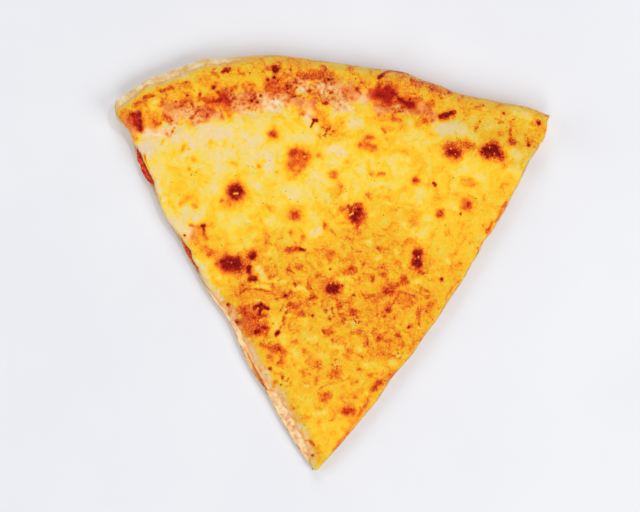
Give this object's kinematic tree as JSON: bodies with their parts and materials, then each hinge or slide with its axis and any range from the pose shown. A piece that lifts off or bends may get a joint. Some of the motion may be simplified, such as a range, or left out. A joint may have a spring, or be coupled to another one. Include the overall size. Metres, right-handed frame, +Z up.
{
  "type": "cheese pizza slice",
  "caption": "Wedge of thin-crust pizza lying flat: soft dough with a puffed rim, a thin layer of tomato sauce, and browned melted cheese on top.",
  "frame": {"origin": "on the surface that the slice lies on, under the middle of its outline's box", "axes": "+Z up, +Y from the tip towards the crust, +X to the right seen from above with the crust at the top"},
  "size_m": [0.2105, 0.2009, 0.0172],
  "materials": {
    "dough": "baked dough, dull and slightly floury",
    "sauce": "cooked tomato sauce, moist",
    "cheese": "melted browned cheese, oily"
  },
  "bodies": {
    "root": {"dough": "dough", "tomato_sauce": "sauce", "melted_cheese": "cheese"}
  },
  "joints": []
}
